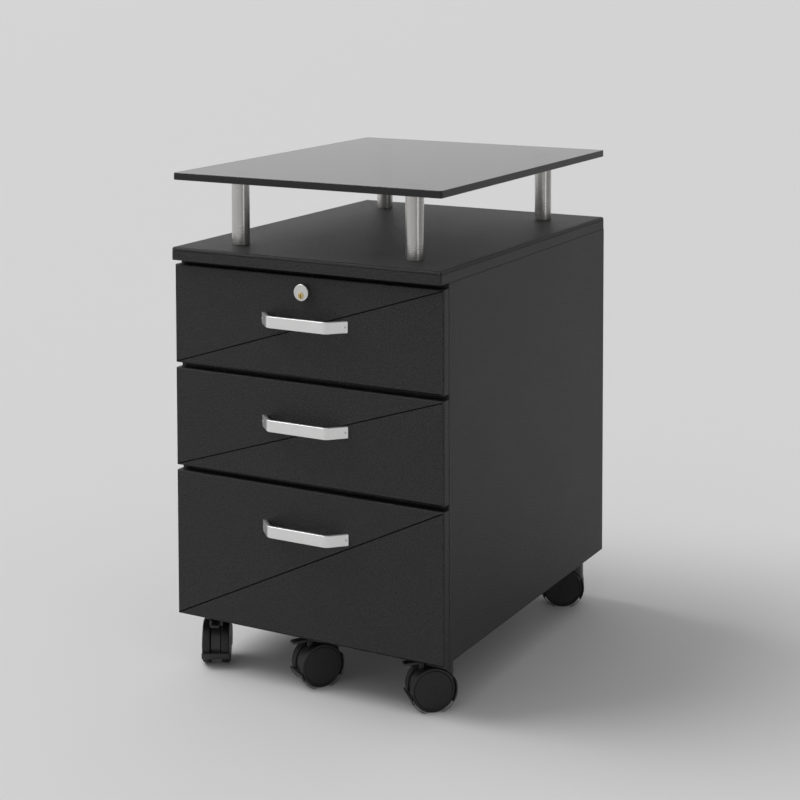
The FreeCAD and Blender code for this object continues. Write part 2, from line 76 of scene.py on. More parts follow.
def share(name, description, default):
    return FloatProperty(name=name, description=description, default=default, min=0.0, subtype="FACTOR")


def colour(name, description, *default):
    return FloatVectorProperty(name=name, description=description, default=default, subtype="COLOR")


class SheetSizes(bpy.types.PropertyGroup):
    """Sizes of the folded sheet metal and the glass."""
    steel: length("Steel", "Thickness of the carcass, the top and the drawer fronts", 1.2)
    box_steel: length("Box steel", "Thickness of the drawer boxes", 1.0)
    bend: length("Bend", "Outer radius of a folded edge of the carcass", 1.5)
    front_edge: length("Front edge", "Radius round the face of a drawer front", 2.2)
    front_corner: length("Front corner", "Radius of a drawer front's corners", 0.8)
    cut_edge: length("Cut edge", "Rounding of a cut edge of sheet", 0.3)
    top_corner: length("Top corner", "Radius of the top's upright corners", 3.0)
    top_rim: length("Top rim", "Radius of the top's upper rim", 3.6)
    rim_groove_height: length("Rim groove height", "Width of the groove that runs under the rim", 0.8)
    rim_groove_depth: length("Rim groove depth", "Depth of that groove", 0.8)
    rim_bead: length("Rim bead", "Rounding of the face below the groove", 0.7)
    slide_notch: length("Slide notch", "Room round a slide where it passes the side's folded edge", 1.0)
    hem: length("Hem", "Height of the folded hem round a drawer box", 9.0)
    box_bead_inset: length("Box bead inset", "Drawer wall to the raised panel of its floor", 26.0)
    box_bead_width: length("Box bead width", "Slope of that raised panel's edge", 3.0)
    box_bead_rise: length("Box bead rise", "Height of that raised panel", 0.8)
    glass_corner: length("Glass corner", "Radius of the glass shelf's corners", 3.0)
    glass_arris: length("Glass arris", "Polished bevel along the glass", 0.8)


class FittingSizes(bpy.types.PropertyGroup):
    """Sizes of the posts, handles, lock and slides."""
    post_arris: length("Post arris", "Bevel at a post's ends", 0.6)
    stud: length("Stud", "Radius of the hole for a post's stud", 4.03)
    stud_depth: length("Stud depth", "Depth of that hole", 27.0)
    strap: length("Strap", "Thickness of a handle's strap", 5.0)
    grip: length("Grip", "Straight front run of a handle, corner to corner", 92.0)
    strap_bend: length("Strap bend", "Outer radius where a handle bends", 12.0)
    strap_edge: length("Strap edge", "Rounding along a handle's strap", 1.0)
    hole_spacing: length("Hole spacing", "Distance between a handle's screws", 128.0)
    screw_hole: length("Screw hole", "Radius of a handle screw's hole", 2.0)
    rosette_edge: length("Rosette edge", "Rounding of the lock rosette", 1.1)
    rosette_land: length("Rosette land", "Flat ring round the rosette's shallow dish", 1.6)
    rosette_dish: length("Rosette dish", "Depth of that dish", 0.25)
    plug_gap: length("Plug gap", "Room between the plug and its housing", 0.05)
    keyway_width: length("Keyway width", "Width of the keyway", 1.6)
    keyway_height: length("Keyway height", "Height of the keyway", 5.6)
    keyway_depth: length("Keyway depth", "Depth of the keyway", 12.0)
    slide_steel: length("Slide steel", "Thickness of a slide member", 1.2)
    slide_bend: length("Slide bend", "Outer radius of a slide member's folds", 1.1)


class CastorSizes(bpy.types.PropertyGroup):
    """Sizes of the twin-wheel castors."""
    wheel_gap: length("Wheel gap", "Room between a castor's two wheels", 15.0)
    hood_gap: length("Hood gap", "A wheel's tread to its hood", 1.0)
    hood_wall: length("Hood wall", "Thickness of the hood", 2.0)
    hood_cover: length("Hood cover", "Hood edge beyond the wheels' outer faces", 0.5)
    hood_edge: length("Hood edge", "Rounding of the hood's edges", 0.6)
    hood_front: FloatProperty(name="Hood front", description="Front end of the hood's arc, from level",
                              default=math.radians(-14), subtype="ANGLE")
    hood_rear: FloatProperty(name="Hood rear", description="Rear end of the hood's arc, from level ahead",
                             default=math.radians(172), subtype="ANGLE")
    web_gap: length("Web gap", "The middle web to each wheel", 1.0)
    web_lift: length("Web lift", "The middle web above the floor", 13.0)
    web_core: length("Web core", "A wheel's tread beyond the edge of the web's lower part", 3.0)
    cup: length("Cup", "Radius of the swivel cup", 19.5)
    cup_top: length("Cup top", "Top of the swivel cup above the floor", 72.5)
    cup_edge: length("Cup edge", "Rounding of the cup's rim", 1.2)
    pin: length("Pin", "Radius of the swivel pin's hole", 4.05)
    axle: length("Axle", "Radius of the axle", 3.0)
    shoulder: length("Shoulder", "Rounding of a wheel's tread", 2.2)
    disc_rim: length("Disc rim", "Tread edge to the groove round a wheel's disc", 3.4)
    disc_groove: length("Disc groove", "Width and depth of that groove", 0.7)
    disc_dish: length("Disc dish", "Depth of the disc's shallow dish", 0.5)
    disc_hub: length("Disc hub", "Radius of the small boss in the middle of the disc", 5.0)
    pedal_pivot: length("Pedal pivot", "Radius of the pedal's pin", 1.5)
    ear: length("Ear", "Thickness of the ears that hold the pedal", 3.0)
    ear_head: length("Ear head", "Radius of those ears", 3.2)
    ear_gap: length("Ear gap", "Room between the pedal and each ear", 0.4)
    tongue: length("Tongue", "Half the pedal's thickness, and its length behind the pin", 2.2)
    tongue_slope: length("Tongue slope", "How far the pedal's upper edge is drawn in and down", 1.0)
    tongue_edge: length("Tongue edge", "Rounding of the pedal's edges", 0.8)


class FinishColours(bpy.types.PropertyGroup):
    """Colours of the finishes."""
    paint: colour("Paint", "Textured paint of the carcass and the fronts", 0.0040, 0.0040, 0.0042)
    # The lighter colour on the grain's tops is a painted highlight; the coat itself is one black.
    paint_grain_highlight: colour("Paint grain", "The tops of the paint's grain", 0.030, 0.030, 0.0305)
    box_paint: colour("Box paint", "Smooth paint of the drawer boxes", 0.012, 0.012, 0.0125)
    glass: colour("Glass", "Tint of the smoked glass", 0.045, 0.046, 0.047)
    glass_edge: colour("Glass edge", "Tint of the smoked glass through its edge", 0.001, 0.001, 0.001)
    post: colour("Post", "Brushed steel of the posts", 0.60, 0.59, 0.575)
    aluminium: colour("Aluminium", "Satin aluminium of the handles", 0.86, 0.86, 0.855)
    zinc: colour("Zinc", "Bright zinc of slides and screws", 0.60, 0.61, 0.63)
    nickel: colour("Nickel", "Nickel plate of the lock", 0.74, 0.73, 0.72)
    brass: colour("Brass", "Brass of the lock plug", 0.71, 0.53, 0.22)
    plastic: colour("Plastic", "Moulded plastic of the hoods and pedals", 0.014, 0.014, 0.0145)
    wheel: colour("Wheel", "Nylon of the wheels", 0.0045, 0.0045, 0.0048)
    floor: colour("Floor", "Pale studio floor", 0.66, 0.66, 0.66)


class StudioSizes(bpy.types.PropertyGroup):
    """The camera, the lights and the floor."""
    camera_right: FloatProperty(name="Camera right", description="Camera to the right of the cabinet",
                                default=1.26884, unit="LENGTH")
    camera_ahead: FloatProperty(name="Camera ahead", description="Camera in front of the cabinet",
                                default=2.31139, unit="LENGTH")
    camera_height: FloatProperty(name="Camera height", description="Camera above the floor",
                                 default=1.00343, unit="LENGTH")
    heading: FloatProperty(name="Heading", description="Turn of the camera to the left of straight back",
                           default=math.radians(28.65), subtype="ANGLE")
    tilt: FloatProperty(name="Tilt", description="Slope of the camera's axis below level",
                        default=math.radians(3.68), subtype="ANGLE")
    roll: FloatProperty(name="Roll", description="Turn of the camera about its axis",
                        default=math.radians(-0.11), subtype="ANGLE")
    lens: FloatProperty(name="Lens", description="Focal length in millimetres", default=82.12)
    lens_drop: FloatProperty(name="Lens drop", description="Downward shift of the picture", default=0.415)
    floor_radius: FloatProperty(name="Floor radius", description="Radius of the floor",
                                default=60.0, unit="LENGTH")
    floor_ahead: FloatProperty(name="Floor ahead", description="Floor in front of the cabinet",
                               default=5.0, unit="LENGTH")
    floor_right: FloatProperty(name="Floor right", description="Floor to the right of the cabinet",
                               default=2.2, unit="LENGTH")
    sky: share("Sky", "Brightness of the room", 0.56)
    sky_slope: share("Sky slope", "How much brighter the room is on the left than on the right", 0.26)
    sun: share("Sun", "Strength of the soft main light from the upper left", 1.7)
    sun_width: FloatProperty(name="Sun width", description="Angle that the main light fills",
                             default=math.radians(40), subtype="ANGLE")
    strip: FloatProperty(name="Strip", description="Power of the upright light at the front right",
                         default=4.0, unit="POWER")


# ---------------------------------------------------------------- working on a mesh
def hold(obj):
    """Selects one object alone and makes it the active one."""
    bpy.ops.object.select_all(action="DESELECT")
    obj.select_set(True)
    bpy.context.view_layer.objects.active = obj


def named(name):
    """Names the primitive just added and puts its place into its mesh."""
    obj = bpy.context.object
    obj.name = obj.data.name = name
    bpy.ops.object.transform_apply(location=True, rotation=True, scale=True)
    return obj


def block(name, low, high):
    low, high = Vector(low), Vector(high)
    bpy.ops.object.select_all(action="DESELECT")
    bpy.ops.mesh.primitive_cube_add(size=1, location=(low + high) / 2, scale=high - low)
    return named(name)


def drum(name, start, end, radius, sides=96):
    start, end = Vector(start), Vector(end)
    axis = end - start
    bpy.ops.object.select_all(action="DESELECT")
    bpy.ops.mesh.primitive_cylinder_add(vertices=sides, radius=radius, depth=axis.length,
                                        location=(start + end) / 2,
                                        rotation=axis.to_track_quat("Z", "Y").to_euler())
    return named(name)


class Editing:
    """An object in edit mode, with its faces and edges picked by place."""

    def __init__(self, obj):
        self.obj = obj

    def __enter__(self):
        hold(self.obj)
        bpy.ops.object.mode_set(mode="EDIT")
        return self

    def __exit__(self, *error):
        bpy.ops.object.mode_set(mode="OBJECT")

    def _pick(self, kind, parts, test):
        bpy.ops.mesh.select_mode(type=kind)
        bpy.ops.mesh.select_all(action="DESELECT")
        mesh = bmesh.from_edit_mesh(self.obj.data)
        chosen = [part for part in getattr(mesh, parts) if test(part)]
        if not chosen:
            raise RuntimeError(f"{self.obj.name} has none of the {parts} that were looked for")
        for part in chosen:
            part.select_set(True)
        bmesh.update_edit_mesh(self.obj.data)

    def faces(self, test):
        """Selects the faces whose middle and normal pass a test."""
        self._pick("FACE", "faces", lambda face: test(face.calc_center_median(), face.normal))

    def edges(self, test):
        """Selects the edges whose two ends pass a test."""
        self._pick("EDGE", "edges", lambda edge: test(edge.verts[0].co, edge.verts[1].co))

    def edges_between(self, first, second):
        """Selects the edges between a face that passes one test and a face that passes another."""
        def divides(edge):
            sides = [(face.calc_center_median(), face.normal) for face in edge.link_faces]
            return len(sides) == 2 and any(first(*one) and second(*other)
                                           for one, other in (sides, reversed(sides)))
        self._pick("EDGE", "edges", divides)


def same(a, b):
    return abs(a - b) < TOUCH


def bevel(width, segments):
    bpy.ops.mesh.bevel(offset=width, segments=segments, profile=0.5, affect="EDGES")


def push(offset):
    """Extrudes the picked faces by a vector."""
    bpy.ops.mesh.extrude_region_move(TRANSFORM_OT_translate={"value": tuple(offset)})


def level_with(axis, value):
    """A test for edges that lie in one plane across an axis."""
    return lambda a, b: same(a[axis], value) and same(b[axis], value)


def along(axis):
    """A test for edges that run along an axis."""
    others = [other for other in range(3) if other != axis]
    return lambda a, b: all(same(a[other], b[other]) for other in others)


def apply_modifier(obj, kind, **settings):
    modifier = obj.modifiers.new(kind.title(), kind)
    for setting, value in settings.items():
        setattr(modifier, setting, value)
    hold(obj)
    bpy.ops.object.modifier_apply(modifier=modifier.name)


def combine(obj, other, operation):
    apply_modifier(obj, "BOOLEAN", object=other, operation=operation, solver="EXACT")
    bpy.data.objects.remove(other)


def carve(obj, *cutters):
    for cutter in cutters:
        combine(obj, cutter, "DIFFERENCE")


def join(obj, *others):
    for other in others:
        combine(obj, other, "UNION")


def copied(obj, name, place=Matrix.Identity(4)):
    """A copy with its own mesh, moved to its place. A mirrored copy has its faces turned out again."""
    twin = obj.copy()
    twin.data = obj.data.copy()
    twin.name = twin.data.name = name
    bpy.context.scene.collection.objects.link(twin)
    twin.data.transform(place)
    if place.determinant() < 0:
        twin.data.flip_normals()
    return twin


def soften(obj, angle=math.radians(32)):
    """Smooth shading up to an angle, with flat faces kept flat."""
    hold(obj)
    bpy.ops.object.shade_smooth_by_angle(angle=angle)
    apply_modifier(obj, "WEIGHTED_NORMAL", mode="FACE_AREA", weight=50, keep_sharp=True)


def fit(obj, body, slot, *nodes):
    """Finishes a piece: its shading, its material, the body it rides on and the nodes it stands for."""
    soften(obj)
    obj.data.materials.clear()
    obj.data.materials.append(finish(slot))
    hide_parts(*nodes)
    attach(obj, body)
    return obj


def pan(name, low, high, wall, opening):
    """A box of sheet metal, open on the side that a unit vector points to."""
    low, high = Vector(low), Vector(high)
    tray = block(name, low, high)
    depth = abs((high - low).dot(opening))
    with Editing(tray) as edit:
        edit.faces(lambda middle, normal: normal.dot(opening) > 0.9)
        bpy.ops.mesh.inset(thickness=wall, depth=0)
        push(-opening * (depth - wall))
    return tray


# ---------------------------------------------------------------- shader values
class Value:
    """A number that changes over a surface. Arithmetic on it adds Math nodes."""

    def __init__(self, recipe, socket):
        self.recipe = recipe
        self.socket = socket

    def _math(self, operation, *terms):
        return self.recipe.value("Math", {"operation": operation}, dict(enumerate(terms)))

    def __add__(self, other):
        return self._math("ADD", self, other)

    def __mul__(self, other):
        return self._math("MULTIPLY", self, other)

    def __sub__(self, other):
        return self._math("SUBTRACT", self, other)

    def __rsub__(self, other):
        return self._math("SUBTRACT", other, self)

    __radd__ = __add__
    __rmul__ = __mul__


class Recipe:
    """A material being made: its nodes, and the constants of its shader."""

    def __init__(self, name, **constants):
        self.material = bpy.data.materials.new(name + "_finish")
        self.material.use_nodes = True
        self.nodes = self.material.node_tree.nodes
        self.links = self.material.node_tree.links
        self.shader = self.nodes["Principled BSDF"]
        for socket, constant in constants.items():
            self.shader.inputs[socket.replace("_", " ").title().replace("Ior", "IOR")].default_value = constant

    def node(self, kind, settings=None, sockets=None):
        """Adds a node: its settings first, then the values or links of its sockets."""
        made = self.nodes.new("ShaderNode" + kind)
        for setting, value in (settings or {}).items():
            if setting == "stops":
                for element, (place, shade) in zip(made.color_ramp.elements, value):
                    element.position = place
                    element.color = (shade, shade, shade, 1)
            else:
                setattr(made, setting, value)
        for socket, value in (sockets or {}).items():
            self.feed(made.inputs[socket], value)
        return made

    def feed(self, socket, value):
        if isinstance(value, Value):
            value = value.socket
        if isinstance(value, bpy.types.NodeSocket):
            self.links.new(value, socket)
        else:
            socket.default_value = value

    def value(self, kind, settings=None, sockets=None, output=0):
        return Value(self, self.node(kind, settings, sockets).outputs[output])

    def place(self, stretch=(1, 1, 1)):
        """Object coordinates, stretched along each axis."""
        coordinates = self.node("TexCoord").outputs["Object"]
        return self.node("Mapping", None, {"Vector": coordinates, "Scale": stretch}).outputs[0]

    def noise(self, scale, detail=2.0, stretch=(1, 1, 1), roughness=0.5):
        sockets = {"Vector": self.place(stretch), "Scale": scale, "Detail": detail, "Roughness": roughness}
        return self.value("TexNoise", None, sockets)

    def steps(self, value, dark_end, light_end):
        """Contrast: 0 up to one value, 1 from another."""
        return self.value("ValToRGB", {"stops": ((dark_end, 0), (light_end, 1))}, {"Fac": value})

    def blend(self, share_of_second, first, second):
        mixed = self.node("Mix", {"data_type": "RGBA"},
                          {0: share_of_second, 6: (*first, 1), 7: (*second, 1)})
        return mixed.outputs[2]

    def surface(self, colour=None, roughness=None, height=None, relief=0.0, metallic=None):
        """Feeds what changes over the surface; relief is the height of the bumps in metres."""
        for socket, value in (("Base Color", colour), ("Roughness", roughness), ("Metallic", metallic)):
            if value is not None:
                self.feed(self.shader.inputs[socket], value)
        if height is not None:
            bump = self.node("Bump", None, {"Strength": 1.0, "Distance": relief, "Height": height})
            self.feed(self.shader.inputs["Normal"], bump.outputs[0])
        return self.material


# ---------------------------------------------------------------- finishes
def charcoal_paint(colours):
    """Black powder coat with a fine pebbled grain, whose tops carry a painted highlight."""
    recipe = Recipe("charcoal_paint", specular_ior_level=0.34)
    grain = recipe.noise(520, detail=2, roughness=0.7)
    # The grain's tops: their bumps and rougher sheen are real relief, their lighter colour is a painted highlight.
    pebble_and_highlight = recipe.steps(grain, 0.38, 0.66)
    cloud = recipe.noise(9, detail=3)
    shade = recipe.blend(pebble_and_highlight, colours.paint, colours.paint_grain_highlight)
    return recipe.surface(shade, 0.36 + 0.06 * cloud + 0.10 * pebble_and_highlight, pebble_and_highlight, 0.55 * MM)


def black_box_paint(colours):
    """Smooth black paint of the drawer boxes, with faint orange peel."""
    recipe = Recipe("black_box_paint")
    peel = recipe.noise(420, detail=1)
    wear = recipe.noise(14, detail=4)
    lighter = [2.2 * channel for channel in colours.box_paint]
    shade = recipe.blend(recipe.steps(wear, 0.45, 0.75), colours.box_paint, lighter)
    return recipe.surface(shade, 0.34 + 0.12 * wear, peel, 0.03 * MM)


def smoked_glass(colours):
    """Grey tinted plate glass: its edge, seen through its whole depth, is almost black."""
    recipe = Recipe("smoked_glass", transmission_weight=1.0, ior=1.5)
    upright = recipe.node("SeparateXYZ", None, {0: recipe.node("TexCoord").outputs["Normal"]}).outputs["Z"]
    plate = recipe.steps(Value(recipe, upright) * Value(recipe, upright), 0.30, 0.90)
    dust = recipe.noise(38, detail=5)
    shade = recipe.blend(plate, colours.glass_edge, colours.glass)
    return recipe.surface(shade, 0.012 + 0.03 * recipe.steps(dust, 0.5, 0.8))


def clear_pad(colours):
    """Clear soft pads between the posts and the glass."""
    recipe = Recipe("clear_pad", transmission_weight=0.6, ior=1.45)
    haze = recipe.noise(300, detail=2)
    shade = recipe.blend(haze, (0.55, 0.57, 0.57), (0.68, 0.70, 0.70))
    return recipe.surface(shade, 0.25 + 0.15 * haze, haze, 0.02 * MM)


def brushed_post_steel(colours):
    """Stainless steel, brushed round the post."""
    recipe = Recipe("brushed_post_steel", metallic=1.0)
    lines = recipe.noise(60, detail=3, stretch=(1, 1, 42), roughness=0.7)
    cloud = recipe.noise(55, detail=3)
    darker = [0.78 * channel for channel in colours.post]
    shade = recipe.blend(0.5 * lines + 0.5 * cloud, darker, colours.post)
    return recipe.surface(shade, 0.17 + 0.10 * lines + 0.07 * cloud, lines, 0.012 * MM)


def satin_aluminium(colours):
    """Bead-blasted and lacquered aluminium."""
    recipe = Recipe("satin_aluminium", metallic=1.0)
    blast = recipe.noise(1500, detail=2, roughness=0.6)
    cloud = recipe.noise(70, detail=2)
    darker = [0.90 * channel for channel in colours.aluminium]
    shade = recipe.blend(0.6 * blast + 0.4 * cloud, darker, colours.aluminium)
    return recipe.surface(shade, 0.36 + 0.08 * blast, blast, 0.016 * MM)


def zinc_steel(colours):
    """Bright zinc plate with rolling marks along the slides."""
    recipe = Recipe("zinc_steel", metallic=1.0)
    rolled = recipe.noise(90, detail=4, stretch=(12, 1, 12), roughness=0.6)
    spangle = recipe.noise(160, detail=1)
    darker = [0.66 * channel for channel in colours.zinc]
    shade = recipe.blend(0.5 * rolled + 0.5 * spangle, darker, colours.zinc)
    return recipe.surface(shade, 0.22 + 0.16 * spangle, rolled, 0.015 * MM)


def nickel(colours):
    """Nickel plate, lightly handled."""
    recipe = Recipe("nickel", metallic=1.0)
    haze = recipe.noise(240, detail=3)
    darker = [0.86 * channel for channel in colours.nickel]
    shade = recipe.blend(haze, darker, colours.nickel)
    return recipe.surface(shade, 0.16 + 0.14 * haze, haze, 0.006 * MM)


def brass(colours):
    """Turned brass, a little tarnished."""
    recipe = Recipe("brass", metallic=1.0)
    tarnish = recipe.noise(520, detail=3)
    darker = [0.6 * channel for channel in colours.brass]
    shade = recipe.blend(recipe.steps(tarnish, 0.4, 0.7), colours.brass, darker)
    return recipe.surface(shade, 0.26 + 0.18 * tarnish, tarnish, 0.01 * MM)


def black_plastic(colours):
    """Moulded black plastic with a spark-eroded grain."""
    recipe = Recipe("black_plastic")
    grain = recipe.noise(1900, detail=2, roughness=0.6)
    cloud = recipe.noise(60, detail=2)
    lighter = [1.7 * channel for channel in colours.plastic]
    shade = recipe.blend(cloud, colours.plastic, lighter)
    return recipe.surface(shade, 0.33 + 0.16 * grain, grain, 0.03 * MM)


def black_wheel_plastic(colours):
    """Nylon wheels, dulled by the floor."""
    recipe = Recipe("black_wheel_plastic")
    scuff = recipe.noise(420, detail=4, roughness=0.7)
    lighter = [2.0 * channel for channel in colours.wheel]
    shade = recipe.blend(recipe.steps(scuff, 0.5, 0.8), colours.wheel, lighter)
    return recipe.surface(shade, 0.46 + 0.2 * scuff, scuff, 0.02 * MM)


def studio_floor(colours):
    """Matt pale floor with a barely visible mottle."""
    recipe = Recipe("studio_floor", specular_ior_level=0.2)
    mottle = recipe.noise(4, detail=3)
    darker = [0.985 * channel for channel in colours.floor]
    return recipe.surface(recipe.blend(mottle, darker, colours.floor), 0.62 + 0.08 * mottle)


FINISHES = {maker.__name__: maker for maker in (
    charcoal_paint, black_box_paint, smoked_glass, clear_pad, brushed_post_steel, satin_aluminium,
    zinc_steel, nickel, brass, black_plastic, black_wheel_plastic, studio_floor)}


def finish(name):
    """The material of that name, made on its first use."""
    made = bpy.data.materials.get(name + "_finish")
    return made or FINISHES[name](bpy.context.scene.pedestal_colours)


# ---------------------------------------------------------------- sheet metal
def drawer_front(drawer, sizes, fittings):
    """A folded pan with rounded edges, drilled for its handle and, on the upper drawer, its lock."""
    node = drawer + "_drawer_front"
    low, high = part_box(node)
    front = pan(drawer + "_front_pan", low, high, sizes.steel, BACK)
    with Editing(front) as edit:
        edit.edges(lambda a, b: along(1)(a, b) and same(abs(a.x), high.x))
        bevel(sizes.front_corner, 3)
        edit.edges(level_with(1, low.y))
        bevel(sizes.front_edge, 6)
    grip_low, grip_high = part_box(drawer + "_handle")
    middle_z = (grip_low.z + grip_high.z) / 2
    holes = [(side * fittings.hole_spacing / 2, middle_z, fittings.screw_hole) for side in (-1, 1)]
    if drawer == "upper":
        nut_low, nut_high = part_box("lock_nut")
        holes.append((0, (nut_low.z + nut_high.z) / 2, barrel_radius()))
    for x, z, radius in holes:
        carve(front, axle_drum("drill", Vector((x, low.y, z)), 2 * sizes.steel, radius, 48))
    fit(front, drawer + "_drawer", "charcoal_paint", node)


def border(axis, low, high, margin):
    """A test for places on the outer skin of a box, across an axis, or within a margin of it."""
    others = [other for other in range(3) if other != axis]
    return lambda place: any(place[other] < low[other] + margin or place[other] > high[other] - margin
                             for other in others)


def barrel_radius():
    """Radius of the hole for the lock's barrel, just inside its nut."""
    low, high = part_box("lock_nut")
    return (high.x - low.x) / 2 * 0.79


def side_panel(side, sizes):
    """One side with its four folded edges, notched in front where the slides run out."""
    node = side + "_side_panel"
    low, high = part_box(node)
    sign = 1 if side == "right" else -1
    face_x = high.x if sign > 0 else low.x
    free_x = low.x if sign > 0 else high.x
    panel = pan(side + "_side_sheet", low, high, sizes.steel, -sign * RIGHT)
    with Editing(panel) as edit:
        edit.edges(level_with(0, face_x))
        bevel(sizes.bend, 5)
        edit.edges(level_with(0, free_x))
        bevel(sizes.cut_edge, 2)
    for drawer in DRAWERS:
        slide_low, slide_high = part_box(drawer + "_cabinet_slides")
        web_x = face_x - sign * sizes.steel
        past_x = free_x - sign * sizes.steel
        carve(panel, block("notch",
                           (min(web_x, past_x), low.y - sizes.steel, slide_low.z - sizes.slide_notch),
                           (max(web_x, past_x), low.y + 2 * sizes.steel, slide_high.z + sizes.slide_notch)))
    fit(panel, "cabinet", "charcoal_paint", node)


def top_cover(sizes, fittings):
    """The folded top: a rounded rim, a fine groove under it and a second, smaller rounding."""
    low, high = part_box("top_cover")
    cover = pan("top_sheet", low, high, sizes.steel, -UP)
    skin = border(2, low, high, sizes.steel - TOUCH)
    lining = border(2, low, high, sizes.top_corner)
    groove_top = high.z - sizes.top_rim - sizes.cut_edge
    groove_low = groove_top - sizes.rim_groove_height
    with Editing(cover) as edit:
        for inset, near_rim in ((0, skin), (sizes.steel, lining)):
            edit.edges(lambda a, b: along(2)(a, b) and same(abs(a.x), high.x - inset))
            bevel(sizes.top_corner - inset, 5)
            edit.edges(lambda a, b: same(a.z, high.z - inset) and same(a.z, b.z) and near_rim(a) and near_rim(b))
            bevel(sizes.top_rim - inset, 7)
        for cut_z in (groove_top, groove_low):
            bpy.ops.mesh.select_all(action="SELECT")
            bpy.ops.mesh.bisect(plane_co=(0, 0, cut_z), plane_no=UP)
        edit.faces(lambda middle, normal: groove_low < middle.z < groove_top and skin(middle))
        bpy.ops.mesh.extrude_region_shrink_fatten(
            TRANSFORM_OT_shrink_fatten={"value": -sizes.rim_groove_depth})
        edit.edges_between(lambda middle, normal: same(middle.z, groove_low) and normal.z > 0.9,
                           lambda middle, normal: middle.z < groove_low and skin(middle))
        bevel(sizes.rim_bead, 4)
    for corner in CORNERS:
        post_low, post_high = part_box("post_" + corner)
        middle = (post_low + post_high) / 2
        carve(cover, drum("drill", (middle.x, middle.y, low.z), (middle.x, middle.y, high.z + sizes.steel),
                          fittings.stud, 32))
    fit(cover, "cabinet", "charcoal_paint", "top_cover")


def glass_shelf(sizes):
    """A plate of glass with rounded corners and polished edges."""
    low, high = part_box("glass_shelf")
    glass = block("glass_plate", low, high)
    upright = along(2)
    with Editing(glass) as edit:
        edit.edges(upright)
        bevel(sizes.glass_corner, 5)
        edit.edges(lambda a, b: not upright(a, b))
        bevel(sizes.glass_arris, 3)
    fit(glass, "cabinet", "smoked_glass", "glass_shelf")


def drawer_box(drawer, sizes):
    """A folded box with a hem round its rim and a raised panel in its floor."""
    node = drawer + "_drawer_box"
    low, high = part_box(node)
    box = pan(drawer + "_box_sheet", low, high, sizes.box_steel, UP)
    inner_x = high.x - sizes.box_steel
    floor_z = low.z + sizes.box_steel
    with Editing(box) as edit:
        bpy.ops.mesh.select_all(action="SELECT")
        bpy.ops.mesh.bisect(plane_co=(0, 0, high.z - sizes.hem), plane_no=UP)
        edit.faces(lambda middle, normal: middle.z > high.z - sizes.hem and abs(normal.z) < 0.1
                   and abs(middle.x) < inner_x + TOUCH
                   and low.y + sizes.box_steel - TOUCH < middle.y < high.y - sizes.box_steel + TOUCH)
        bpy.ops.mesh.extrude_region_shrink_fatten(
            TRANSFORM_OT_shrink_fatten={"value": sizes.box_steel})
        edit.faces(lambda middle, normal: same(middle.z, floor_z) and normal.z > 0.9)
        bpy.ops.mesh.inset(thickness=sizes.box_bead_inset, depth=0)
        bpy.ops.mesh.inset(thickness=sizes.box_bead_width, depth=sizes.box_bead_rise)
        edit.edges(level_with(2, high.z))
        bevel(sizes.cut_edge, 2)
        edit.edges(lambda a, b: along(2)(a, b) and same(abs(a.x), high.x))
        bevel(sizes.box_steel, 3)
    fit(box, drawer + "_drawer", "black_box_paint", node)


# ---------------------------------------------------------------- posts, handles, lock, slides
def post(corner, fittings):
    low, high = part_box("post_" + corner)
    middle = (low + high) / 2
    bar = drum(corner + "_stand_off", (middle.x, middle.y, low.z), (middle.x, middle.y, high.z),
               (high.x - low.x) / 2, 128)
    with Editing(bar) as edit:
        edit.edges(lambda a, b: same(a.z, b.z))
        bevel(fittings.post_arris, 3)
    carve(bar, drum("thread", (middle.x, middle.y, low.z - fittings.post_arris),
                    (middle.x, middle.y, low.z + fittings.stud_depth), fittings.stud, 48))
    fit(bar, "cabinet", "brushed_post_steel", "post_" + corner)


def bow_handle(drawer, fittings):
    """A strap bent twice: slanting legs and a straight grip."""
    node = drawer + "_handle"
    low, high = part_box(node)
    half = high.x
    grip = fittings.grip / 2
    leg = Vector((half - grip, high.y - low.y, 0))
    bow = block(drawer + "_bow", low, (high.x, high.y + fittings.strap, high.z))
    with Editing(bow) as edit:
        for side in (-1, 1):
            bpy.ops.mesh.select_all(action="SELECT")
            bpy.ops.mesh.bisect(plane_co=(side * grip, low.y, 0), plane_no=(side * leg.y, -leg.x, 0),
                                clear_outer=True, use_fill=True)
        edit.faces(lambda middle, normal: normal.y > 0.9 or abs(normal.z) > 0.9)
        bpy.ops.mesh.delete(type="FACE")
        edit.edges(lambda a, b: along(2)(a, b) and same(a.y, low.y))
        bevel(fittings.strap_bend * math.tan(math.atan2(leg.y, leg.x) / 2), 12)
    apply_modifier(bow, "SOLIDIFY", thickness=fittings.strap, offset=-1, use_even_offset=True)
    apply_modifier(bow, "BEVEL", width=fittings.strap_edge, segments=3, limit_method="ANGLE",
                   angle_limit=math.radians(60))
    with Editing(bow) as edit:
        bpy.ops.mesh.select_all(action="SELECT")
        bpy.ops.mesh.bisect(plane_co=(0, high.y, 0), plane_no=BACK, clear_outer=True, use_fill=True)
    fit(bow, drawer + "_drawer", "satin_aluminium", node)


